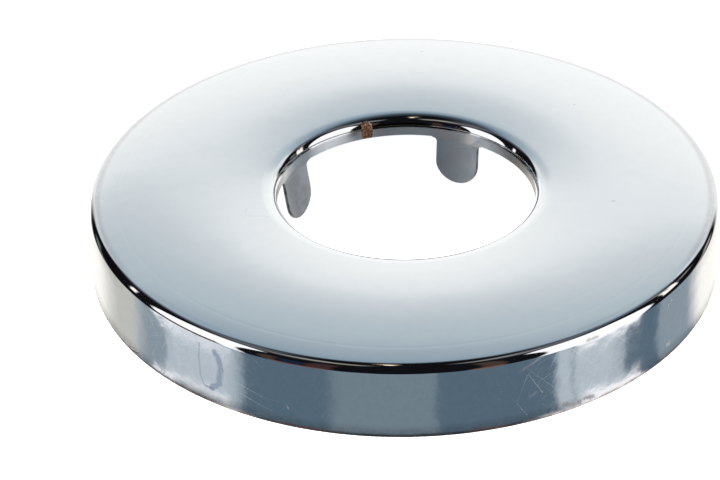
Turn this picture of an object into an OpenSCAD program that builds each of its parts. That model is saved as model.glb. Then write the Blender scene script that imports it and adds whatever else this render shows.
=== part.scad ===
// Pipe rosette: a round cover pressed from one sheet of thin metal. It hides
// the hole in the wall round a pipe. The sheet turns down at the outside as a
// plain skirt and at the middle as a short collar, and four spring tabs hang
// from the collar and lean in towards the pipe.
// Millimetres. +Z points away from the wall, along the pipe. The origin lies
// on the axis of the hole, in the plane of the skirt's rim.

/* [Cover] */
// Radius of the cover just below its rounded outer corner
cover_r = 27; // [26:0.5:32]
// Height of the crown above the wall, the highest ring of the face
crown_z = 6.9; // [6.8:0.1:9]
// Radius at which the face is highest
crown_r = 19.5; // [18:0.25:21]
// Thickness of the sheet
sheet = 0.3; // [0.25:0.05:0.5]
// Radius of the rounded corner between face and skirt
corner_r = 0.7; // [0.6:0.05:1.2]
// Draft of the skirt, degrees off square
skirt_draft = 2.4; // [0:0.1:3]
// Distance of the faint drawn ring on the face from the outside of the cover
crease_in = 2.4; // [2:0.1:4]
// Slope of the face at the drawn ring, degrees
crease_slope = 3.6; // [0.5:0.1:4.2]
// Slope of the face where it meets the rounded corner, degrees
band_slope = 6.5; // [5:0.5:9]

/* [Collar] */
// Inner radius of the collar, the hole that the pipe goes through
bore_r = 11.2; // [10.5:0.05:12]
// Height of the collar's straight wall, below its rolled lip
collar_wall = 0.85; // [0.6:0.05:0.9]
// Radius of the rolled lip where the face turns down into the collar
lip_r = 0.85; // [0.6:0.05:1]
// Radius of the dished ring that leads from the face into the lip
dish_r = 3.2; // [2:0.1:4]
// Slope of the face where the dished ring begins, degrees
dish_slope = 4; // [2:0.5:5]
// Slope where the dished ring meets the lip, degrees
lip_slope = 20; // [12:1:25]

/* [Tabs] */
// Directions of the tabs round the hole, counter-clockwise from +X, degrees
tab_angles = [65, 152, 245, 332]; // [0:1:359]
// Width of a tab
tab_w = 4; // [3:0.1:5]
// Length of a tab below the collar, along the sheet
tab_len = 4.3; // [3:0.1:4.3]
// Lean of the tabs towards the pipe, degrees
tab_lean = 7.5; // [0:0.5:12]
// Radius of the notch corners where a tab leaves the collar
notch_r = 0.5; // [0.2:0.1:0.8]

/* [Hidden] */
$fn = 144;
corner_steps = 14;
band_steps = 4;
lip_steps = 12;
dish_steps = 4;
face_steps = 8;
tip_steps = 9;
notch_steps = 4;

// Points of an arc whose outward normal leans from the vertical by a0 to a1
// degrees, away from the axis (side = 1) or towards it (side = -1)
function arc(c, rad, side, a0, a1, n) =
    [for (i = [0:n]) let (a = a0 + (a1 - a0) * i / n)
        [c[0] + side * rad * sin(a), c[1] + rad * cos(a)]];

// Face outside the crown: one flat arc as far as the drawn ring, then a
// rounder band as far as the corner
crease_r = cover_r - crease_in;
out_rad = (crease_r - crown_r) / sin(crease_slope);
out_c = [crown_r, crown_z - out_rad];
crease_z = crown_z - out_rad * (1 - cos(crease_slope));
corner_x = cover_r - corner_r;
band_x = corner_x + corner_r * sin(band_slope);
band_rad = (band_x - crease_r) / (sin(band_slope) - sin(crease_slope));
band_c = [crease_r - band_rad * sin(crease_slope),
          crease_z - band_rad * cos(crease_slope)];
band_z = band_c[1] + band_rad * cos(band_slope);
corner_c = [corner_x, band_z - corner_r * cos(band_slope)];

// Face inside the crown: one flat arc, the dished ring, then the lip
lip_top_x = bore_r + lip_r * (1 - sin(lip_slope));
dish_x = lip_top_x + dish_r * (sin(lip_slope) - sin(dish_slope));
in_rad = (crown_r - dish_x) / sin(dish_slope);
in_c = [crown_r, crown_z - in_rad];
dish_z = crown_z - in_rad * (1 - cos(dish_slope));
dish_c = [dish_x + dish_r * sin(dish_slope), dish_z - dish_r * cos(dish_slope)];
lip_top_z = dish_c[1] + dish_r * cos(lip_slope);
lip_c = [bore_r + lip_r, lip_top_z - lip_r * cos(lip_slope)];
collar_z = lip_c[1] - collar_wall;

// Skirt, tangent to the corner
skirt_top = [corner_c[0] + corner_r * cos(skirt_draft),
             corner_c[1] + corner_r * sin(skirt_draft)];
rim_r = skirt_top[0] + skirt_top[1] * tan(skirt_draft);

// The sheet below the collar's edge leans in. It is longer than the tabs,
// whose rounded ends are then cut from it
lean_len = tab_len + 0.4;
tip_z = collar_z - tab_len * cos(tab_lean);

// One skin of the sheet, t below the visible face
function skin(t) = concat(
    [[rim_r - t / cos(skirt_draft), 0]],
    arc(corner_c, corner_r - t, 1, 90 - skirt_draft, band_slope, corner_steps),
    [for (i = [1:band_steps]) arc(band_c, band_rad - t, 1, band_slope, crease_slope, band_steps)[i]],
    [for (i = [1:face_steps]) arc(out_c, out_rad - t, 1, crease_slope, 0, face_steps)[i]],
    [for (i = [1:face_steps]) arc(in_c, in_rad - t, -1, 0, dish_slope, face_steps)[i]],
    [for (i = [1:dish_steps]) arc(dish_c, dish_r - t, -1, dish_slope, lip_slope, dish_steps)[i]],
    [for (i = [1:lip_steps]) arc(lip_c, lip_r - t, -1, lip_slope, 90, lip_steps)[i]],
    [[bore_r + t, collar_z - t * tan(tab_lean / 2)],
     [bore_r - lean_len * sin(tab_lean) + t * cos(tab_lean),
      collar_z - lean_len * cos(tab_lean) - t * sin(tab_lean)]]);

function backwards(p) = [for (i = [len(p) - 1:-1:0]) p[i]];

// The whole pressing before the tabs are pierced
module pressed_sheet() {
    rotate_extrude() polygon(concat(skin(0), backwards(skin(sheet))));
}

// Half of a tab's flat outline, from its end up to the collar's edge: a round
// end, a straight side and a rounded notch corner
half_tab = concat(
    [for (i = [1:tip_steps]) let (a = 90 * i / tip_steps)
        [tab_w / 2 * sin(a), tip_z + tab_w / 2 * (1 - cos(a))]],
    [for (i = [0:notch_steps]) let (a = 90 * i / notch_steps)
        [tab_w / 2 + notch_r * (1 - cos(a)), collar_z - notch_r * (1 - sin(a))]]);

// Flat outline of one tab, carried on above the collar's edge
module tab_outline() {
    polygon(concat(
        [[0, tip_z]], half_tab,
        [[tab_w / 2 + notch_r, collar_z + 1], [-tab_w / 2 - notch_r, collar_z + 1]],
        [for (p = backwards(half_tab)) [-p[0], p[1]]]));
}

// What the piercing tool takes away below the collar's edge
module pierced_gaps() {
    difference() {
        translate([0, 0, -1]) cylinder(r = bore_r + 3, h = collar_z + 1);
        for (a = tab_angles)
            rotate([0, 0, a]) translate([bore_r - 4, 0, 0])
                rotate([90, 0, 90]) linear_extrude(height = 9) tab_outline();
    }
}

module rosette() {
    color([0.80, 0.83, 0.86])
        difference() {
            pressed_sheet();
            pierced_gaps();
        }
}

rosette();
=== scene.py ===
import math

import bpy
import numpy as np
from mathutils import Matrix, Vector


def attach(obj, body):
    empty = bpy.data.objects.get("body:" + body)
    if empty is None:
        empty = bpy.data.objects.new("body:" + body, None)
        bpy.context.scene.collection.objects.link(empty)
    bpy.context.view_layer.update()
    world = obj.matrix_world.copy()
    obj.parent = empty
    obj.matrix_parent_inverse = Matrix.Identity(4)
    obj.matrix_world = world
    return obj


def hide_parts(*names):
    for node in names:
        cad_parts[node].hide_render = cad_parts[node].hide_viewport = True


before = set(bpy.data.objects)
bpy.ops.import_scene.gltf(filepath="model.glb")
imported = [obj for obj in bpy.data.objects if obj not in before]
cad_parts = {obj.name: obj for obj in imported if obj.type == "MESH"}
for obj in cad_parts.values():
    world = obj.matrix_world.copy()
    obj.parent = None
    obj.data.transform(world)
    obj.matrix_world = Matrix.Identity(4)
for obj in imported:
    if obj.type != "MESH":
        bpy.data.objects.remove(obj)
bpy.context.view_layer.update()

MM = 0.001


def sin(a):
    return math.sin(math.radians(a))


def cos(a):
    return math.cos(math.radians(a))


def tan(a):
    return math.tan(math.radians(a))


def smooth(x, a, b):
    t = np.clip((np.asarray(x, float) - a) / (b - a), 0, 1)
    return t * t * (3 - 2 * t)


# ---------------------------------------------------------------- the section
# The same section as the CAD part, in millimetres: each visible point comes
# with the normal of the visible skin, so that the underside is an offset of it.
cover_r, crown_z, crown_r, sheet = 27.0, 6.9, 19.5, 0.3
corner_r, skirt_draft = 0.7, 2.4
crease_r, crease_slope, band_slope = 24.6, 3.6, 6.5
bore_r, collar_wall, lip_r = 11.2, 0.85, 0.85
dish_r, dish_slope, lip_slope = 3.2, 4.0, 20.0
tab_w, tab_len, notch_r = 4.0, 4.3, 0.5
edge_r = 0.05  # the worn corners of the cut edges

out_rad = (crease_r - crown_r) / sin(crease_slope)
out_c = (crown_r, crown_z - out_rad)
crease_z = crown_z - out_rad * (1 - cos(crease_slope))
corner_x = cover_r - corner_r
band_x = corner_x + corner_r * sin(band_slope)
band_rad = (band_x - crease_r) / (sin(band_slope) - sin(crease_slope))
band_c = (crease_r - band_rad * sin(crease_slope), crease_z - band_rad * cos(crease_slope))
corner_c = (corner_x, band_c[1] + band_rad * cos(band_slope) - corner_r * cos(band_slope))
lip_top_x = bore_r + lip_r * (1 - sin(lip_slope))
dish_x = lip_top_x + dish_r * (sin(lip_slope) - sin(dish_slope))
in_rad = (crown_r - dish_x) / sin(dish_slope)
in_c = (crown_r, crown_z - in_rad)
dish_z = crown_z - in_rad * (1 - cos(dish_slope))
dish_c = (dish_x + dish_r * sin(dish_slope), dish_z - dish_r * cos(dish_slope))
lip_top_z = dish_c[1] + dish_r * cos(lip_slope)
lip_c = (bore_r + lip_r, lip_top_z - lip_r * cos(lip_slope))
collar_z = lip_c[1] - collar_wall
skirt_top = (corner_c[0] + corner_r * cos(skirt_draft), corner_c[1] + corner_r * sin(skirt_draft))
rim_r = skirt_top[0] + skirt_top[1] * tan(skirt_draft)


def arc(c, rad, side, a0, a1, n, skip=True):
    out = []
    for i in range(1 if skip else 0, n + 1):
        a = a0 + (a1 - a0) * i / n
        out.append((c[0] + side * rad * sin(a), c[1] + rad * cos(a), side * sin(a), cos(a)))
    return out


section = []
# skirt, from the rim up; the cut edge below it is rounded separately
nx, nz = cos(skirt_draft), sin(skirt_draft)
for z in (0.05, 0.08, 0.12, 0.17, 0.23, 0.3, 0.4, 0.55, 0.75, 1.0, 1.3, 1.7, 2.2, 2.8, 3.5, 4.2, 4.9, 5.4, 5.7, skirt_top[1]):
    # the last millimetre flares by a few hundredths, where the trimming die left it
    waist = 0.020 * (1 - math.exp(-z / 0.2)) + 0.018 * (1 - math.exp(-z / 0.8))
    waist *= 1 - float(smooth(z, 1.0, 5.6))
    section.append((rim_r - z * tan(skirt_draft) - waist, z, nx, nz))
section += arc(corner_c, corner_r, 1, 90 - skirt_draft, band_slope, 16)
section += arc(band_c, band_rad, 1, band_slope, crease_slope, 5)
section += arc(out_c, out_rad, 1, crease_slope, 0, 12)
section += arc(in_c, in_rad, -1, 0, dish_slope, 14)
section += arc(dish_c, dish_r, -1, dish_slope, lip_slope, 8)
section += arc(lip_c, lip_r, -1, lip_slope, 90, 16)
for t in (0.2, 0.45, 0.7, 0.9, 0.965, 1.0):
    z = lip_c[1] + (collar_z + edge_r - lip_c[1]) * t
    section.append((bore_r, z, -1.0, 0.0))
section = np.array(section)
K = len(section) - 1

# ------------------------------------------------------------------ the tabs
# Direction, lean, length and width of each: they were bent and cut by hand
# tools, so no two are quite the same.
TABS = [
    (65.0, 5.0, 4.3, 4.0),
    (152.0, 9.0, 4.56, 3.85),
    (245.0, 7.5, 4.3, 4.0),
    (332.0, 7.0, 4.25, 4.0),
]
ACROSS = [-1.0, -0.985, -0.955] + [-0.9 + 1.8 * i / 12 for i in range(13)] + [0.955, 0.985, 1.0]
NS = len(ACROSS) - 1  # columns across a tab

phis, owner = [], []
for ti, (al, lean, length, w) in enumerate(TABS):
    half = w / 2 + notch_r
    for i in range(NS + 1):
        phis.append(al + math.degrees(math.asin(ACROSS[i] * half / bore_r)))
        owner.append((ti, i))
    al2 = TABS[(ti + 1) % 4][0] + (360 if ti == 3 else 0)
    w2 = TABS[(ti + 1) % 4][3]
    a0 = al + math.degrees(math.asin(half / bore_r))
    a1 = al2 - math.degrees(math.asin((w2 / 2 + notch_r) / bore_r))
    n = int(round((a1 - a0) / 0.8))
    for i in range(1, n):
        phis.append(a0 + (a1 - a0) * i / n)
        owner.append(None)
phis = np.radians(np.array(phis))
N = len(phis)
start = {o: j for j, o in enumerate(owner) if o is not None}

verts, faces = [], []
depth = []   # how far below the collar's edge, in mm, 0 above it
side_of = []  # 0 on the visible skin, 1 on the hidden one, between on a cut edge


def add(p, d=0.0, s=0.0):
    verts.append(p)
    depth.append(d)
    side_of.append(s)
    return len(verts) - 1


def ring_of(r, z, s):
    return [add((r * math.cos(a), r * math.sin(a), z), 0.0, s) for a in phis]


V = [ring_of(r, z, 0.0) for r, z, _, _ in section]
U = [ring_of(r - a * sheet, max(edge_r, z - b * sheet), 1.0) for r, z, a, b in section]
for k in range(K):
    for j in range(N):
        i = (j + 1) % N
        faces.append((V[k][j], V[k][i], V[k + 1][i], V[k + 1][j]))
        faces.append((U[k][i], U[k][j], U[k + 1][j], U[k + 1][i]))


def bridge(loop, closed=True):
    """Rounded cut edge along a loop of (visible vertex, hidden vertex, normal, outward)."""
    rows = [[q[0] for q in loop]]
    h = math.sqrt(0.5)
    for o, n in ((h, 1 - h), (1, 1), (1, -1), (h, -(1 - h))):
        row = []
        for a, b, nn, oo in loop:
            base = np.array(verts[a]) if n > 0 else np.array(verts[b])
            p = base + np.array(oo) * edge_r * o - np.array(nn) * edge_r * n
            row.append(add(tuple(p), depth[a], 0.3 if n > 0 else 0.7))
        rows.append(row)
    rows.append([q[1] for q in loop])
    m = len(loop)
    for r0, r1 in zip(rows, rows[1:]):
        for j in range(m if closed else m - 1):
            i = (j + 1) % m
            faces.append((r0[j], r0[i], r1[i], r1[j]))


# rim of the skirt
r0, z0, n0, m0 = section[0]
bridge([(U[0][j], V[0][j], (-n0 * math.cos(a), -n0 * math.sin(a), -m0), (0, 0, -1)) for j, a in enumerate(phis)])

# tabs, each a grid of rows that starts on the collar's last row
loop = []
for ti, (al, lean, length, w) in enumerate(TABS):
    ca, sa = cos(al), sin(al)
    hw = w / 2 - edge_r
    nr = notch_r + edge_r
    top = collar_z + edge_r
    tip = collar_z - length * cos(lean) + edge_r
    shoulder = tip + hw + 0.25

    def place(s, z, a=ca, b=sa, lean=lean, top=top):
        d = max(0.0, (top - z) / cos(lean))
        # the bend at the collar's edge is eased over half a millimetre
        ease = 0.25 * (1 - math.exp(-d / 0.25))
        r = bore_r - max(0.0, d - ease) * sin(lean)
        r = math.sqrt(max(r * r, s * s + 1e-9))
        x = math.sqrt(max(r * r - s * s, 1e-9))
        g = lean * (1 - math.exp(-d / 0.25))
        n = np.array([-(x / r) * cos(g), -(s / r) * cos(g), sin(g)])
        p = np.array([x, s, z])
        turn = lambda q: (q[0] * a - q[1] * b, q[0] * b + q[1] * a, q[2])
        return turn(p), np.array(turn(n)), turn

    rows = []
    for i in range(1, 6):  # notch corners
        a = 90.0 * i / 5
        rows.append(("z", top - nr * sin(a), hw + nr * (1 - math.sqrt(max(0.0, 1 - (1 - sin(a)) ** 2)))))
    z1 = top - nr
    for i in range(1, 6):
        rows.append(("z", z1 + (shoulder - z1) * i / 5.0, hw))
    for t in (0.2, 0.4, 0.6, 0.8, 0.92, 0.975, 1.0):
        rows.append(("t", t, hw))
    base = [start[(ti, i)] for i in range(NS + 1)]
    us = ACROSS
    TV = [[V[K][j] for j in base]]
    TU = [[U[K][j] for j in base]]
    nrm = [[np.array([-math.cos(phis[j]), -math.sin(phis[j]), 0.0]) for j in base]]
    outw = []
    for kind, q, half in rows:
        rv, ru, rn = [], [], []
        for i in range(NS + 1):
            s = us[i] * half
            if kind == "z":
                z = q
            else:
                za = tip + hw - math.sqrt(max(0.0, hw * hw - s * s))
                z = shoulder + (za - shoulder) * q
            p, n, turn = place(s, z)
            d = max(0.0, collar_z - z)
            rv.append(add(p, d, 0.0))
            ru.append(add(tuple(np.array(p) - n * sheet), d, 1.0))
            rn.append(n)
        TV.append(rv)
        TU.append(ru)
        nrm.append(rn)
    for r in range(len(TV) - 1):
        for i in range(NS):
            faces.append((TV[r][i], TV[r][i + 1], TV[r + 1][i + 1], TV[r + 1][i]))
            faces.append((TU[r][i + 1], TU[r][i], TU[r + 1][i], TU[r + 1][i + 1]))

    def outward(s, z):
        """Direction away from the tab's middle, in its own plane, at its outline."""
        if z > z1:
            c = (math.copysign(hw + nr, s), z1)
            v = (c[0] - s, c[1] - z)
        elif z < tip + hw:
            v = (s, z - (tip + hw))
        else:
            v = (s, 0.0)
        m = math.hypot(*v) or 1.0
        return v[0] / m, v[1] / m

    def edge_point(r, i):
        a, b, n = TV[r][i], TU[r][i], nrm[r][i]
        p = verts[a]
        s = -p[0] * sa + p[1] * ca
        z = p[2]
        os_, oz = (0.0, -1.0) if r == 0 else outward(s, z)
        down = np.array([-sin(lean) * ca, -sin(lean) * sa, -cos(lean)])
        across = np.array([-sa, ca, 0.0])
        o = across * os_ - down * oz
        o = o - n * float(np.dot(o, n))
        o = o / np.linalg.norm(o)
        return (a, b, n, o)

    R = len(TV) - 1
    loop += [edge_point(r, 0) for r in range(0, R + 1)]
    loop += [edge_point(R, i) for i in range(1, NS)]
    loop += [edge_point(r, NS) for r in range(R, -1, -1)]
    j = base[-1] + 1
    while j % N < N and owner[j % N] is None:
        a = phis[j % N]
        loop.append((V[K][j % N], U[K][j % N], np.array([-math.cos(a), -math.sin(a), 0.0]), np.array([0.0, 0.0, -1.0])))
        j += 1
bridge(loop)

co = np.array(verts, float)
rad = np.hypot(co[:, 0], co[:, 1])
# the hole was pressed a quarter of a millimetre off the middle
co[:, 0] += 0.24 * (1 - smooth(rad, 13.0, 21.0)) * (rad < 22)
co[:, 2] = np.maximum(co[:, 2], 0.0)

mesh = bpy.data.meshes.new("pipe_rosette")
mesh.from_pydata([tuple(p * MM) for p in co], [], faces)
mesh.update()
mesh.validate()
for p in mesh.polygons:
    p.use_smooth = True
for name, values in (("depth", depth), ("hidden", side_of)):
    a = mesh.attributes.new(name, "FLOAT", "POINT")
    a.data.foreach_set("value", np.array(values, np.float32))
rosette = bpy.data.objects.new("pressed_rosette", mesh)
bpy.context.scene.collection.objects.link(rosette)
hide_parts("rosette")
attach(rosette, "root")


# ------------------------------------------------------------- node shorthand
class Nodes:
    def __init__(self, tree):
        self.t = tree
        tree.nodes.clear()

    def new(self, kind, **kw):
        n = self.t.nodes.new(kind)
        for k, v in kw.items():
            setattr(n, k, v)
        return n

    def link(self, a, b):
        self.t.links.new(a, b)

    def put(self, sock, v):
        if isinstance(v, bpy.types.NodeSocket):
            self.link(v, sock)
        elif v is not None:
            sock.default_value = v

    def math(self, op, a, b=None, c=None, clamp=False):
        n = self.new("ShaderNodeMath", operation=op, use_clamp=clamp)
        for s, v in zip(n.inputs, (a, b, c)):
            self.put(s, v)
        return n.outputs[0]

    def span(self, v, a, b, lo=0.0, hi=1.0, kind="SMOOTHSTEP"):
        n = self.new("ShaderNodeMapRange", interpolation_type=kind, clamp=True)
        for i, q in enumerate((v, a, b, lo, hi)):
            self.put(n.inputs[i], q)
        return n.outputs[0]

    def ramp(self, v, stops, mode="LINEAR"):
        n = self.new("ShaderNodeValToRGB")
        r = n.color_ramp
        r.interpolation = mode
        while len(r.elements) > 1:
            r.elements.remove(r.elements[-1])
        r.elements[0].position = stops[0][0]
        r.elements[0].color = (*stops[0][1], 1)
        for p, c in stops[1:]:
            r.elements.new(p).color = (*c, 1)
        self.put(n.inputs[0], v)
        return n.outputs[0]

    def mix(self, f, a, b, blend="MIX"):
        n = self.new("ShaderNodeMix", data_type="RGBA", blend_type=blend)
        self.put(n.inputs[0], f)
        self.put(n.inputs[6], a)
        self.put(n.inputs[7], b)
        return n.outputs[2]

    def noise(self, vec, scale, detail=2.0, rough=0.5, dim="3D"):
        n = self.new("ShaderNodeTexNoise", noise_dimensions=dim)
        self.put(n.inputs["Vector"], vec)
        n.inputs["Scale"].default_value = scale
        n.inputs["Detail"].default_value = detail
        n.inputs["Roughness"].default_value = rough
        return n.outputs["Fac"]

    def vec(self, op, a, b=None, value=False):
        n = self.new("ShaderNodeVectorMath", operation=op)
        self.put(n.inputs[0], a)
        if b is not None:
            self.put(n.inputs[3] if op == "SCALE" else n.inputs[1], b)
        return n.outputs[1] if value else n.outputs[0]

    def parts(self, vec):
        n = self.new("ShaderNodeSeparateXYZ")
        self.put(n.inputs[0], vec)
        return n.outputs

    def join(self, x, y, z=0.0):
        n = self.new("ShaderNodeCombineXYZ")
        for s, v in zip(n.inputs, (x, y, z)):
            self.put(s, v)
        return n.outputs[0]

    def times(self, *values):
        out = values[0]
        for v in values[1:]:
            out = self.math("MULTIPLY", out, v)
        return out

    def most(self, *values):
        out = values[0]
        for v in values[1:]:
            out = self.math("MAXIMUM", out, v)
        return out

    def band(self, v, a, b, soft):
        """1 where v lies between a and b, with soft ends."""
        return self.times(self.span(v, a - soft, a + soft), self.span(v, b + soft, b - soft))

    def stroke(self, where, points):
        """Distance to the line through the points."""
        best = None
        for a, b in zip(points, points[1:]):
            a, b = Vector((*a, 0.0)[:3]), Vector((*b, 0.0)[:3])
            ba = b - a
            pa = self.vec("SUBTRACT", where, tuple(a))
            h = self.math("MULTIPLY", self.vec("DOT_PRODUCT", pa, tuple(ba), value=True), 1.0 / ba.length_squared, clamp=True)
            d = self.vec("DISTANCE", pa, self.vec("SCALE", tuple(ba), h), value=True)
            best = d if best is None else self.math("MINIMUM", best, d)
        return best

    def spot(self, where, centre, near, far):
        """1 within near of the centre, 0 beyond far."""
        c = tuple((*centre, 0.0)[:3])
        return self.span(self.vec("DISTANCE", where, c, value=True), far, near)


# ------------------------------------------------------------------ material
mat = bpy.data.materials.new("chrome_plate")
mat.use_nodes = True
g = Nodes(mat.node_tree)
out = g.new("ShaderNodeOutputMaterial")
bsdf = g.new("ShaderNodeBsdfPrincipled")
g.link(bsdf.outputs[0], out.inputs[0])
bsdf.inputs["Metallic"].default_value = 1.0

# where: in millimetres, and unrolled round the skirt (along it, up it)
mm = g.vec("MULTIPLY", g.new("ShaderNodeTexCoord").outputs["Object"], (1000.0, 1000.0, 1000.0))
x, y, z = g.parts(mm)
flat = g.join(x, y)
r = g.vec("LENGTH", flat, value=True)
inner_r = g.vec("DISTANCE", flat, (0.24, 0.0, 0.0), value=True)
along = g.math("MULTIPLY", g.math("ARCTAN2", x, g.math("MULTIPLY", y, -1.0)), 27.0)
wrap = g.join(along, z)
seamless = g.span(g.math("ABSOLUTE", along), 84.0, 78.0)
below = g.new("ShaderNodeAttribute", attribute_name="depth").outputs["Fac"]
skin = g.new("ShaderNodeAttribute", attribute_name="hidden").outputs["Fac"]

# which part of the pressing
seen = g.span(skin, 0.2, 0.02)
under = g.span(skin, 0.78, 0.96)
cut = g.band(skin, 0.15, 0.85, 0.1)
outer = g.times(seen, g.span(r, 25.9, 26.3))
skirt = g.times(outer, g.span(z, 6.1, 5.6))
face = g.times(seen, g.span(z, 5.8, 6.1))
tab = g.times(g.span(below, 0.0, 0.35), seen)
satin = g.times(seen, g.span(inner_r, 12.6, 12.2), g.span(z, 5.85, 5.71))

# slow and fast irregularity of the plate
broad = g.noise(mm, 0.16, 2.0)
wave = g.noise(mm, 0.45, 1.5)
ripple = g.noise(mm, 1.9, 2.0, 0.6)
grain = g.noise(mm, 7.0, 3.0, 0.6)
blotch = g.noise(mm, 0.9, 3.0, 0.6)

# fine hairlines, mostly on the skirt where the cover was handled
hair = None
for angle, lengthwise, across, fine, seed in (
    (62.0, 0.045, 2.6, 0.030, 3.0), (-46.0, 0.05, 3.0, 0.030, 11.0), (24.0, 0.05, 2.6, 0.022, 23.0),
):
    ca, sa = cos(angle), sin(angle)
    a = g.math("ADD", g.math("MULTIPLY", along, ca), g.math("MULTIPLY", z, sa))
    b = g.math("ADD", g.math("MULTIPLY", along, -sa), g.math("MULTIPLY", z, ca))
    n = g.noise(g.join(g.math("MULTIPLY", a, lengthwise), g.math("MULTIPLY", b, across), seed), 1.0, 0.0)
    line = g.span(g.math("ABSOLUTE", g.math("SUBTRACT", n, 0.5)), fine, fine * 0.25)
    gaps = g.span(g.noise(g.join(g.math("MULTIPLY", a, 0.3), g.math("MULTIPLY", b, 0.7), seed + 5.0), 1.0, 0.0), 0.46, 0.60)
    line = g.times(line, gaps)
    hair = line if hair is None else g.most(hair, line)
dense = g.most(
    g.math("MULTIPLY", g.band(along, 4.0, 13.0, 1.5), 0.85),
    g.math("MULTIPLY", g.band(along, -24.5, -20.5, 1.0), 0.85),
    g.math("MULTIPLY", g.band(along, -14.0, -5.0, 2.0), 0.5),
    0.3,
)
hair = g.times(hair, dense, skirt, seamless)

# the scratches that stand out: along the skirt and up it, in millimetres
thin = g.span(
    g.math("MINIMUM",
        g.math("MINIMUM",
            g.stroke(wrap, [(8.72, 1.75), (9.71, 4.65), (10.98, 2.5)]),
            g.stroke(wrap, [(8.44, 2.55), (9.66, 0.75)])),
        g.math("MINIMUM",
            g.math("MINIMUM", g.stroke(wrap, [(-6.74, 1.2), (-5.5, 3.25)]), g.stroke(wrap, [(-13.52, 2.75), (-11.17, 2.1), (-9.94, 2.15)])),
            g.math("MINIMUM", g.stroke(wrap, [(-13.57, 1.9), (-10.6, 1.0)]), g.stroke(wrap, [(7.16, 4.6), (7.4, 3.4)])))),
    0.05, 0.015,
)
thick = g.span(
    g.math("MINIMUM", g.stroke(wrap, [(-9.57, 2.1), (-9.36, 1.6)]), g.stroke(wrap, [(25.0, 5.25), (24.46, 4.95), (24.46, 4.5), (24.3, 4.1)])),
    0.12, 0.03,
)
patchy = g.span(ripple, 0.36, 0.56)
thin = g.times(thin, g.span(grain, 0.3, 0.6, 0.3, 0.75), skirt)
thick = g.times(thick, patchy, skirt)
nick = g.times(g.span(g.stroke(wrap, [(-26.4, 0.42), (-25.5, 0.6)]), 0.26, 0.16), skirt)
rub = g.times(g.spot(wrap, (24.55, 1.25), 0.15, 0.55), patchy, skirt)
tick = g.times(g.span(g.stroke(mm, [(4.72, 10.15, 4.18), (5.95, 9.52, 4.38), (6.75, 9.12, 5.25)]), 0.17, 0.04), g.span(ripple, 0.3, 0.6, 0.45, 1.0), seen)

# a U-shaped dark bluish mark: a fine line down, a turn, and a broad dark line up
u_mark_thin = g.span(g.stroke(wrap, [(-17.48, 5.2), (-17.58, 4.05), (-17.48, 2.25), (-17.06, 1.35), (-16.2, 1.3)]), 0.12, 0.05)
u_mark_broad = g.span(
    g.math("ADD", g.stroke(wrap, [(-16.3, 1.4), (-15.65, 2.1), (-15.4, 3.4), (-15.5, 4.3), (-15.9, 4.95)]), g.math("MULTIPLY", g.math("SUBTRACT", ripple, 0.5), 0.5)),
    0.40, 0.14,
)
u_mark_thin = g.times(u_mark_thin, skirt)
u_mark_broad = g.times(u_mark_broad, skirt)
stain = g.times(
    g.span(
        g.math("ADD", g.math("MINIMUM", g.stroke(wrap, [(12.9, 0.72), (14.4, 0.36)]), g.stroke(wrap, [(14.75, 0.62), (15.75, 0.42)])), g.math("MULTIPLY", g.math("SUBTRACT", ripple, 0.5), 0.9)),
        0.30, 0.06,
    ),
    g.span(grain, 0.35, 0.55, 0.3, 1.0),
    skirt,
)

# small marks on the face and the rounded corner
speck = g.most(g.spot(flat, (15.58, 12.73), 0.06, 0.17), g.spot(flat, (1.94, 23.38), 0.08, 0.2), g.spot(flat, (17.78, -3.85), 0.08, 0.24))
fine_line = g.span(g.math("MINIMUM", g.stroke(flat, [(-13.5, -5.25), (-11.3, -5.16)]), g.stroke(flat, [(-13.42, -4.7), (-13.3, -3.9)])), 0.06, 0.01)
smudge = g.times(g.spot(g.vec("MULTIPLY", mm, (1.0, 0.55, 0.0)), (1.75, 8.1), 0.1, 0.8), face)
face_marks = g.times(g.most(speck, g.math("MULTIPLY", fine_line, 0.6)), face)
scuff = g.times(g.span(g.stroke(mm, [(14.2, -23.0, 6.05), (15.2, -22.36, 6.05)]), 0.2, 0.08), g.span(ripple, 0.42, 0.56))

# the plate has gone through to brown metal across the lip and the collar
rust_at = g.vec("MULTIPLY", g.vec("SUBTRACT", mm, (-3.22, 10.72, 5.45)), (1.75, 1.75, 0.62))
rust = g.span(g.math("ADD", g.vec("LENGTH", rust_at, value=True), g.math("MULTIPLY", g.math("SUBTRACT", ripple, 0.5), 1.1)), 1.0, 0.72)
rust = g.times(rust, seen, g.span(inner_r, 12.5, 12.0))

# ring lines that the drawing die left near the edge of the face
ring = g.span(g.math("ABSOLUTE", g.math("SUBTRACT", r, 24.6)), 0.24, 0.0)
ring2 = g.span(g.math("ABSOLUTE", g.math("SUBTRACT", r, 22.8)), 0.3, 0.0)

# brown film on the last quarter of a millimetre of the skirt; the colour is also
# made darker over the millimetre above it, less so in two bands, and under the corner at the sides
film = g.times(g.span(z, 0.36, 0.10), outer, g.span(blotch, 0.40, 0.62, 0.35, 1.0))
less_darkened_bands = g.most(g.math("MULTIPLY", g.band(along, 14.5, 22.0, 1.5), 0.7), g.math("MULTIPLY", g.band(along, -23.0, -20.0, 1.0), 0.7))
darker_foot_and_sides = g.times(
    g.most(
        g.times(g.span(z, 1.25, 0.35), g.math("SUBTRACT", 1.0, less_darkened_bands), 0.7),
        g.times(g.span(z, 4.5, 5.7), g.span(g.math("ABSOLUTE", along), 26.0, 31.0), 0.4),
    ),
    outer, g.span(ripple, 0.3, 0.7, 0.7, 1.0),
)
mottle = g.times(g.most(skirt, tab), g.math("ADD", g.span(grain, 0.35, 0.65, 0.0, 0.10), g.span(ripple, 0.35, 0.65, 0.0, 0.10)))
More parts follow.
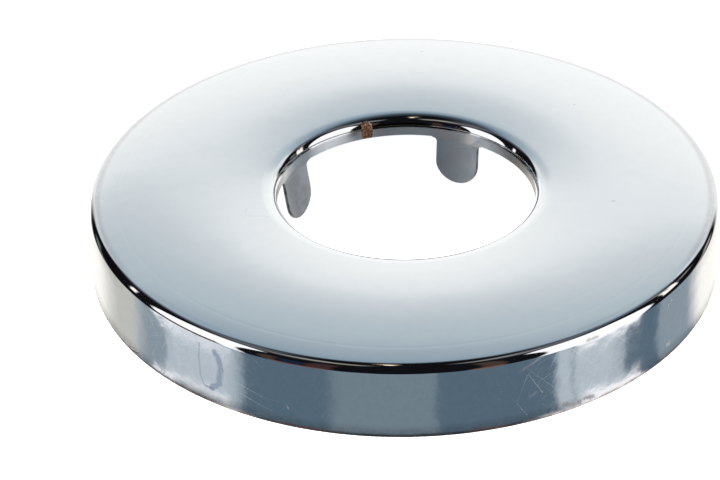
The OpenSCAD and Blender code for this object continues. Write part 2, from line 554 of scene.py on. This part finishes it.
# the satin collar gets painted shade beside the rust and at its right end, the
# mirror finish above its rear starts in a painted dark reflection, and a painted
# lighter strip stands for reflected light along the rear of the collar's wall
collar = g.times(seen, g.span(inner_r, 12.6, 12.2))
# painted shade on the collar, beside the rust and at its right end
painted_collar_shade = g.times(collar, g.span(z, 5.97, 5.87), g.span(z, 4.95, 5.72, 0.1, 0.85), g.band(x, -4.8, -3.7, 0.5))
painted_collar_shade = g.most(painted_collar_shade, g.times(satin, g.span(x, 7.0, 10.0, 0.0, 0.75)))
# painted dark reflection: near-black colour at the top of the collar's rear wall
painted_dark_reflection_top = g.span(x, 1.8, 2.8, 6.05, 5.87)
painted_dark_reflection = g.times(collar, g.span(z, 5.66, 5.70), g.span(g.math("SUBTRACT", z, painted_dark_reflection_top), 0.03, -0.03), g.band(x, -3.7, 4.6, 0.3))
# painted light: a lighter, warmer strip along the rear of the collar's wall
painted_light_strip = g.times(satin, g.span(z, 5.70, 5.66), g.band(x, -3.7, 6.6, 0.6), g.span(below, 0.5, 0.0))

colour = g.mix(g.span(blotch, 0.3, 0.7), (0.795, 0.825, 0.855, 1), (0.815, 0.84, 0.865, 1))
colour = g.mix(g.times(satin, g.span(blotch, 0.3, 0.7, 0.75, 1.0)), colour, (0.70, 0.72, 0.74, 1))
# painted shade on the collar
colour = g.mix(g.times(painted_collar_shade, g.span(below, 0.3, 0.0)), colour, (0.24, 0.21, 0.20, 1))
# painted light strip on the collar's wall
colour = g.mix(painted_light_strip, colour, (0.96, 0.90, 0.86, 1))
# painted dark reflection at the top of the collar's rear
colour = g.mix(painted_dark_reflection, colour, (0.05, 0.045, 0.045, 1))
colour = g.mix(g.times(tab, g.span(blotch, 0.32, 0.68, 0.35, 1.0)), colour, (0.70, 0.75, 0.80, 1))
colour = g.mix(mottle, colour, (0.55, 0.57, 0.60, 1))
# darker colour over the skirt's foot and under the corner at the sides
colour = g.mix(darker_foot_and_sides, colour, (0.42, 0.41, 0.42, 1))
colour = g.mix(under, colour, g.mix(g.span(blotch, 0.35, 0.65), (0.55, 0.56, 0.57, 1), (0.66, 0.67, 0.68, 1)))
colour = g.mix(cut, colour, g.mix(g.span(ripple, 0.35, 0.65), (0.24, 0.22, 0.21, 1), (0.46, 0.45, 0.44, 1)))
colour = g.mix(g.math("MULTIPLY", film, 0.85), colour, (0.42, 0.33, 0.28, 1))
# the U-shaped dark bluish mark on the skirt
colour = g.mix(g.math("MULTIPLY", u_mark_thin, 0.45), colour, (0.40, 0.44, 0.52, 1))
colour = g.mix(g.math("MULTIPLY", u_mark_broad, 0.7), colour, (0.36, 0.43, 0.56, 1))
colour = g.mix(g.math("MULTIPLY", stain, 0.6), colour, (0.30, 0.25, 0.24, 1))
colour = g.mix(g.math("MULTIPLY", scuff, 0.5), colour, (0.55, 0.46, 0.42, 1))
colour = g.mix(g.math("MULTIPLY", face_marks, 0.2), colour, (0.35, 0.37, 0.40, 1))
colour = g.mix(g.math("MULTIPLY", smudge, 0.10), colour, (0.45, 0.52, 0.58, 1))
colour = g.mix(g.most(g.math("MULTIPLY", hair, 0.4), g.most(thin, thick), nick, g.math("MULTIPLY", rub, 0.8), g.math("MULTIPLY", tick, 0.9)), colour, (0.93, 0.94, 0.95, 1))
brown = g.ramp(grain, [(0.34, (0.16, 0.08, 0.05)), (0.5, (0.42, 0.21, 0.12)), (0.66, (0.78, 0.52, 0.34))])
colour = g.mix(rust, colour, brown)
g.put(bsdf.inputs["Base Color"], colour)

rough = g.span(blotch, 0.25, 0.75, 0.035, 0.055)
rough = g.math("ADD", rough, g.times(skirt, g.span(broad, 0.3, 0.7, 0.02, 0.055)))
rough = g.math("ADD", rough, g.times(satin, g.span(blotch, 0.3, 0.7, 0.24, 0.32)))
rough = g.math("ADD", rough, g.times(tab, g.span(blotch, 0.3, 0.7, 0.14, 0.24)))
rough = g.math("ADD", rough, g.times(under, g.span(blotch, 0.3, 0.7, 0.26, 0.40)))
rough = g.math("ADD", rough, g.math("MULTIPLY", cut, 0.42))
for mask, by in ((hair, 0.16), (thin, 0.28), (thick, 0.45), (nick, 0.5), (rub, 0.4), (tick, 0.3), (scuff, 0.35),
                 (stain, 0.3), (u_mark_broad, 0.10), (face_marks, 0.15), (smudge, 0.08), (film, 0.25), (rust, 0.35)):
    rough = g.math("ADD", rough, g.math("MULTIPLY", mask, by))
g.put(bsdf.inputs["Roughness"], g.math("MINIMUM", rough, 0.85))


# heights in millimetres
def swell(n, mask, by):
    return g.times(g.math("SUBTRACT", n, 0.5), mask, by)


# the skirt flares a little more at its foot, and leans in at its top, on both
# sides of the front
foot = g.span(z, 2.2, 0.0, kind="LINEAR")
brow = g.span(z, 4.2, 5.8, kind="LINEAR")
flanks = g.most(g.band(along, 14.5, 22.5, 1.5), g.band(along, -24.0, -15.5, 1.5))

height = swell(broad, face, 0.010)
for piece in (
    g.times(foot, foot, flanks, outer, 0.022),
    g.times(brow, brow, flanks, outer, -0.007),
    swell(wave, skirt, 0.020),
    swell(ripple, g.math("MULTIPLY", skirt, g.span(broad, 0.35, 0.65, 0.6, 1.0)), 0.0034),
    swell(grain, skirt, 0.0005),
    swell(ripple, g.times(outer, face), 0.0012),
    swell(blotch, g.most(satin, tab), 0.006),
    swell(grain, g.most(satin, tab, under), 0.0012),
    swell(grain, cut, 0.012),
    g.times(face, ring, -0.0017),
    g.times(face, ring2, -0.0006),
    g.math("MULTIPLY", face_marks, -0.0015),
    g.math("MULTIPLY", nick, -0.03),
    g.math("MULTIPLY", rub, 0.004),
    g.math("MULTIPLY", tick, -0.006),
    g.math("MULTIPLY", u_mark_thin, 0.003),
    g.math("MULTIPLY", g.times(rust, g.span(grain, 0.3, 0.7)), 0.03),
):
    height = g.math("ADD", height, piece)
bump = g.new("ShaderNodeBump")
bump.inputs["Strength"].default_value = 1.0
bump.inputs["Distance"].default_value = 0.001
g.put(bump.inputs["Height"], height)
g.link(bump.outputs[0], bsdf.inputs["Normal"])
rosette.data.materials.append(mat)

# --------------------------------------------------------------------- world
world = bpy.data.worlds.new("studio")
bpy.context.scene.world = world
world.use_nodes = True
w = Nodes(world.node_tree)
wout = w.new("ShaderNodeOutputWorld")
direction = w.new("ShaderNodeTexCoord").outputs["Generated"]
sep = w.new("ShaderNodeSeparateXYZ")
w.link(direction, sep.inputs[0])
X, Y, Z = sep.outputs
elev = w.math("MULTIPLY", w.math("ARCSINE", Z), 180 / math.pi)
az = w.math("MULTIPLY", w.math("ARCTAN2", X, w.math("MULTIPLY", Y, -1.0)), 180 / math.pi)
absaz = w.math("ABSOLUTE", az)


def e01(e):
    return (e + 90.0) / 180.0


# the wall behind, white below and blue-grey towards its top; the top runs
# down a little to the left
drop = w.math("SUBTRACT", w.times(w.span(az, -180.0, -165.0), w.span(az, 1.0, -1.0), 2.8), w.times(w.band(az, 150.0, 176.0, 4.0), 1.3))
back = w.ramp(
    w.math("DIVIDE", w.math("ADD", w.math("ADD", elev, drop), 90.0), 180.0),
    [
        (e01(20), (1.14, 1.13, 1.10)),
        (e01(27), (1.05, 1.05, 1.02)),
        (e01(31), (0.92, 0.94, 0.94)),
        (e01(34), (0.70, 0.74, 0.76)),
        (e01(37), (0.58, 0.64, 0.67)),
        (e01(41), (0.50, 0.58, 0.62)),
        (e01(44), (0.42, 0.49, 0.54)),
        (e01(51), (0.29, 0.38, 0.45)),
        (e01(60), (0.06, 0.08, 0.10)),
        (e01(70), (0.004, 0.004, 0.005)),
    ],
)
rear = w.most(w.span(az, 131.0, 141.0), w.span(az, -137.0, -149.0))


def panel(sky, az0, az1, e0, e1, colour, sa=1.0, se=2.0, turn=None, top=None):
    """A soft-edged panel of light, or of dark, over what is there already."""
    m = w.times(
        w.band(az if turn is None else turn, az0, az1, sa),
        w.span(elev, e0 - se, e0 + se),
        w.span(elev if top is None else top, e1 + se, e1 - se),
    )
    return w.mix(m, sky, (*colour, 1))


def bowed(centre, k):
    """Elevation, read so that a panel gets a rounded top."""
    d = w.math("SUBTRACT", az, centre)
    return w.math("ADD", elev, w.math("MULTIPLY", w.math("MULTIPLY", d, d), k))


def leaning(k):
    """Azimuth of a strip that curves outwards as it rises."""
    return w.math("ADD", az, w.math("MULTIPLY", w.math("MULTIPLY", elev, elev), k))


# ceiling and dark sides
upper = w.mix(w.times(w.band(absaz, 46.0, 160.0, 12.0), w.band(elev, 56.0, 69.0, 6.0)), (0.006, 0.006, 0.008, 1), (0.13, 0.13, 0.14, 1))
upper = panel(upper, 112.0, 150.0, 38.0, 58.0, (0.10, 0.12, 0.15), 8.0, 6.0)
upper = panel(upper, -150.0, -126.0, 38.0, 58.0, (0.09, 0.10, 0.12), 8.0, 6.0)
upper = panel(upper, -80.0, -24.0, 63.0, 74.0, (0.34, 0.32, 0.28), 8.0, 3.5)
upper = panel(upper, 34.0, 90.0, 64.0, 74.0, (0.25, 0.25, 0.26), 8.0, 3.5)
upper = w.mix(rear, upper, back)
upper = panel(upper, -160.0, -142.0, 20.0, 34.0, (0.88, 0.89, 0.90), 3.5, 5.0)
upper = panel(upper, 129.0, 150.0, 20.0, 41.0, (0.86, 0.88, 0.91), 3.5, 5.0)
# dim panels at the front, behind the camera
upper = panel(upper, -49.0, -43.5, -28.0, 25.0, (0.06, 0.04, 0.03), 1.5, 6.0)
upper = panel(upper, -42.0, -33.5, -28.0, 22.0, (0.012, 0.02, 0.045), 1.5, 6.0)
upper = panel(upper, -33.0, -24.0, -28.0, 40.0, (0.055, 0.028, 0.026), 1.5, 6.0)
upper = panel(upper, 25.0, 33.0, -28.0, 45.0, (0.07, 0.045, 0.035), 1.5, 6.0)
upper = panel(upper, -47.0, -27.0, -32.0, -20.0, (0.18, 0.08, 0.065), 2.0, 3.0)
upper = panel(upper, 22.0, 34.0, -32.0, -19.0, (0.22, 0.10, 0.06), 2.0, 3.0)
# greenish and grey strips at the sides
upper = panel(upper, -131.0, -126.0, -28.0, 6.0, (0.15, 0.20, 0.18), 1.5, 4.0)
upper = panel(upper, 121.0, 128.0, -29.0, 2.0, (0.38, 0.38, 0.35), 2.0, 3.0)
upper = panel(upper, 107.0, 114.0, 12.0, 20.0, (0.30, 0.29, 0.26), 2.0, 4.0)

# what lies low round the cover, which the skirt mirrors. Five tones in fields:
# the bright floor beyond, a half shade, the light that a soft box throws, its
# weaker edge, and the dark between them.
BRIGHT, HALF, LIT, EDGE, DARK = (1.15, 1.10, 1.03), (0.62, 0.61, 0.57), (0.54, 0.60, 0.65), (0.30, 0.36, 0.41), (0.11, 0.165, 0.215)
PALE = (0.20, 0.26, 0.30)
low = (*BRIGHT, 1)
for start_az, soft, tone in (
    (-138.0, 12.0, HALF), (-111.0, 6.5, EDGE), (-95.2, 0.9, LIT), (-63.0, 5.0, EDGE), (-59.5, 1.5, DARK),
    (-26.5, 3.5, PALE), (11.0, 1.0, DARK), (55.0, 1.2, LIT), (61.0, 0.6, EDGE), (62.3, 0.8, LIT),
    (83.0, 7.0, EDGE), (85.2, 1.2, DARK), (102.5, 1.0, EDGE), (129.0, 8.0, BRIGHT),
):
    low = w.mix(w.span(az, start_az - soft, start_az + soft), low, (*tone, 1))
sky = w.mix(w.span(elev, -26.0, -29.0), upper, low)
# the two tall soft boxes, the strip lamps beside them and the warm lamp overhead
sky = panel(sky, -91.0, -64.0, -31.7, -30.3, (0.95, 0.95, 0.98), 2.0, 0.4)
sky = panel(sky, -101.0, -89.0, -31.0, -28.6, (1.1, 1.1, 1.12), 1.5, 0.5)
sky = panel(sky, -92.0, -57.0, -27.5, -9.0, (0.13, 0.08, 0.075), 1.5, 1.5)
sky = panel(sky, -92.0, -57.0, -12.0, 51.0, (1.25, 1.22, 1.22), 1.2, 3.0, top=bowed(-74.0, 0.02))
sky = panel(sky, -66.0, -57.0, -27.5, 0.0, (1.2, 1.18, 1.18), 1.2, 2.0)
sky = panel(sky, 62.0, 91.0, -30.9, -25.0, (1.25, 1.22, 1.22), 1.5, 0.9)
sky = panel(sky, 47.0, 89.0, -28.0, 53.0, (1.25, 1.22, 1.22), 1.2, 2.2, top=bowed(68.0, 0.02))
sky = panel(sky, -104.2, -101.0, 3.0, 26.0, (1.25, 1.18, 1.12), 0.6, 4.0, turn=leaning(0.0092))
sky = panel(sky, 95.5, 103.0, 3.0, 32.0, (1.25, 1.18, 1.10), 0.8, 4.0, turn=leaning(-0.008))
sky = panel(sky, 98.5, 101.0, 24.0, 46.0, (0.50, 0.38, 0.26), 0.7, 4.0, turn=leaning(-0.008))
stretched = w.vec("MULTIPLY", direction, (1.0, 0.14, 0.0))
above = w.span(Z, 0.80, 0.86)
sky = w.mix(w.times(above, w.spot(stretched, (-0.042, 0.014, 0.0), 0.022, 0.034)), sky, (0.30, 0.22, 0.15, 1))
sky = w.mix(w.times(above, w.spot(stretched, (-0.042, 0.003, 0.0), 0.010, 0.018)), sky, (1.4, 1.2, 0.95, 1))
bg = w.new("ShaderNodeBackground")
w.put(bg.inputs[0], sky)
plain = w.new("ShaderNodeBackground")
plain.inputs[0].default_value = (0.92, 0.92, 0.92, 1)
lp = w.new("ShaderNodeLightPath")
mixs = w.new("ShaderNodeMixShader")
w.link(lp.outputs["Is Camera Ray"], mixs.inputs[0])
w.link(bg.outputs[0], mixs.inputs[1])
w.link(plain.outputs[0], mixs.inputs[2])
w.link(mixs.outputs[0], wout.inputs[0])
# only the polished metal sees the studio, so it isn't sampled as a lamp
world.cycles.sampling_method = "NONE"

# --------------------------------------------------------------------- floor
bpy.ops.mesh.primitive_plane_add(size=3.0, location=(0, 0, 0))
floor = bpy.context.object
floor.name = "floor"
fm = bpy.data.materials.new("floor")
fm.use_nodes = True
fb = fm.node_tree.nodes["Principled BSDF"]
fb.inputs["Base Color"].default_value = (0.9, 0.9, 0.9, 1)
fb.inputs["Roughness"].default_value = 0.9
fb.inputs["Specular IOR Level"].default_value = 0.0
# bright enough to stay white all over
fb.inputs["Emission Color"].default_value = (1.0, 1.0, 1.0, 1)
fb.inputs["Emission Strength"].default_value = 0.86
floor.data.materials.append(fm)
floor.visible_glossy = False

light = bpy.data.lights.new("overhead", "AREA")
light.shape = "SQUARE"
light.size = 0.8
light.energy = 14.0
lo = bpy.data.objects.new("overhead", light)
lo.location = (0, 0, 0.7)
lo.visible_glossy = False
bpy.context.scene.collection.objects.link(lo)

# -------------------------------------------------------------------- camera
# Found from the outlines of the cover and the hole in the photograph: a long
# lens about 21 cm away, 33 degrees above the floor.
F = 2400.0
e, dist = math.radians(33.11), 7.803 * 27.0 * MM
u0, v0, roll = 403.43 - 359.5, 246.85 - 239.5, math.radians(-0.716)
right = Vector((1, 0, 0))
fw = Vector((0, math.cos(e), -math.sin(e)))
up = right.cross(fw)
place_at = -fw * dist
c, s = math.cos(roll), math.sin(roll)
u1, v1 = u0 * c + v0 * s, -u0 * s + v0 * c
b = math.atan(v1 / F)
a = math.atan(u1 * math.cos(b) / F)
r1 = right * math.cos(a) + fw * math.sin(a)
f1 = -right * math.sin(a) + fw * math.cos(a)
up2 = up * math.cos(b) - f1 * math.sin(b)
f2 = up * math.sin(b) + f1 * math.cos(b)
rr = r1 * c + up2 * s
uu = up2 * c - r1 * s
cam = bpy.data.cameras.new("camera")
cam.sensor_width = 36.0
cam.lens = F / 720.0 * 36.0
cam.clip_start = 0.01
cam.clip_end = 10.0
camo = bpy.data.objects.new("camera", cam)
m = Matrix.Identity(4)
for i in range(3):
    m[i][0], m[i][1], m[i][2], m[i][3] = rr[i], uu[i], -f2[i], place_at[i]
camo.matrix_world = m
bpy.context.scene.collection.objects.link(camo)
bpy.context.scene.camera = camo

vs = bpy.context.scene.view_settings
vs.view_transform = "Standard"
vs.look = "None"
vs.exposure = 0.0
vs.gamma = 1.0
